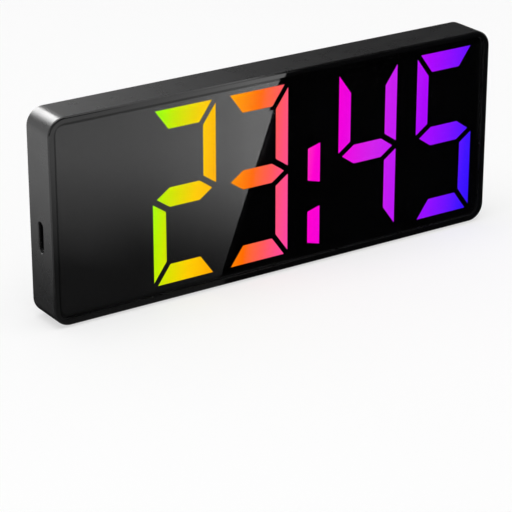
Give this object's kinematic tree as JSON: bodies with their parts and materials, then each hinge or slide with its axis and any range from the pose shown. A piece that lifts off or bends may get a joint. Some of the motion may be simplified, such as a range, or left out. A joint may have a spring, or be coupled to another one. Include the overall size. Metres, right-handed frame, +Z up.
{
  "type": "digital led desk clock",
  "caption": "Slim rounded black desk clock with a glossy smoked front, large seven-segment digits glowing from lime to blue, a USB-C inlet in one end and buttons behind.",
  "frame": {"origin": "under the middle of the clock, on the table", "axes": "+X to the right along the front, +Y to the rear, +Z up; the display looks along -Y"},
  "size_m": [0.16, 0.0142, 0.065],
  "materials": {
    "case_black": "satin black ABS with a fine even grain and a polished rim",
    "cover_black": "matt black ABS",
    "smoked_acrylic": "polished smoked acrylic",
    "foam_tape": "black double-sided foam tape",
    "reflector_black": "polished black moulding",
    "lit_lime": "diffuser glowing lime to amber",
    "lit_orange": "diffuser glowing orange to coral",
    "lit_pink": "diffuser glowing hot pink",
    "lit_magenta": "diffuser glowing magenta to violet",
    "lit_violet": "diffuser glowing violet to blue",
    "dark_diffuser": "polished smoked diffuser, not lit",
    "board_green": "green solder resist",
    "led_white": "white LED package",
    "screw_steel": "zinc-plated steel",
    "screw_black": "black-oxide steel",
    "shell_steel": "drawn nickel-plated steel",
    "tongue_black": "black moulding",
    "switch_black": "black switch body",
    "plunger_black": "black switch stem",
    "button_black": "smooth black ABS",
    "cell_steel": "stainless can",
    "holder_black": "black moulding",
    "spring_nickel": "nickel-plated spring strip",
    "buzzer_black": "black sounder case",
    "sensor_epoxy": "epoxy-dipped bead on tinned legs",
    "chip_epoxy": "black epoxy with tinned leads",
    "passive_ceramic": "ceramic chip parts with tinned ends",
    "crystal_steel": "plated can",
    "door_black": "matt black ABS",
    "foot_rubber": "matt black rubber"
  },
  "bodies": {
    "clock": {"front_housing": "case_black", "front_lens": "smoked_acrylic", "lens_tape": "foam_tape", "segment_reflector": "reflector_black", "hour_tens_segments": "lit_lime", "hour_units_segments": "lit_orange", "colon_segments": "lit_pink", "minute_tens_segments": "lit_magenta", "minute_units_segments": "lit_violet", "unlit_segments": "dark_diffuser", "display_board": "board_green", "led_chips": "led_white", "reflector_screws": "screw_steel", "usb_shell": "shell_steel", "usb_tongue": "tongue_black", "rear_cover": "cover_black", "cover_screws": "screw_black", "switch_bodies": "switch_black", "coin_cell": "cell_steel", "cell_holder": "holder_black", "negative_spring": "spring_nickel", "positive_clip": "spring_nickel", "buzzer": "buzzer_black", "temperature_sensor": "sensor_epoxy", "clock_chip": "chip_epoxy", "led_driver": "chip_epoxy", "board_passives": "passive_ceramic", "crystal_can": "crystal_steel", "rubber_feet": "foot_rubber"},
    "button_mode": {"button_mode": "button_black", "plunger_mode": "plunger_black"},
    "button_up": {"button_up": "button_black", "plunger_up": "plunger_black"},
    "button_down": {"button_down": "button_black", "plunger_down": "plunger_black"},
    "button_alarm": {"button_alarm": "button_black", "plunger_alarm": "plunger_black"},
    "door": {"battery_door": "door_black"}
  },
  "joints": [
    {"name": "mode_press", "type": "slide", "parent": "clock", "child": "button_mode", "axis": [0, -1, 0], "range_m": [0, 0.0005], "stiffness_N_per_m": 1500},
    {"name": "up_press", "type": "slide", "parent": "clock", "child": "button_up", "axis": [0, -1, 0], "range_m": [0, 0.0005], "stiffness_N_per_m": 1500},
    {"name": "down_press", "type": "slide", "parent": "clock", "child": "button_down", "axis": [0, -1, 0], "range_m": [0, 0.0005], "stiffness_N_per_m": 1500},
    {"name": "alarm_press", "type": "slide", "parent": "clock", "child": "button_alarm", "axis": [0, -1, 0], "range_m": [0, 0.0005], "stiffness_N_per_m": 1500},
    {"name": "door_turn", "type": "hinge", "parent": "clock", "child": "door", "pos_m": [0, 0.00635, 0.02469], "axis": [0, 1, 0], "range_deg": [0, 40]}
  ]
}
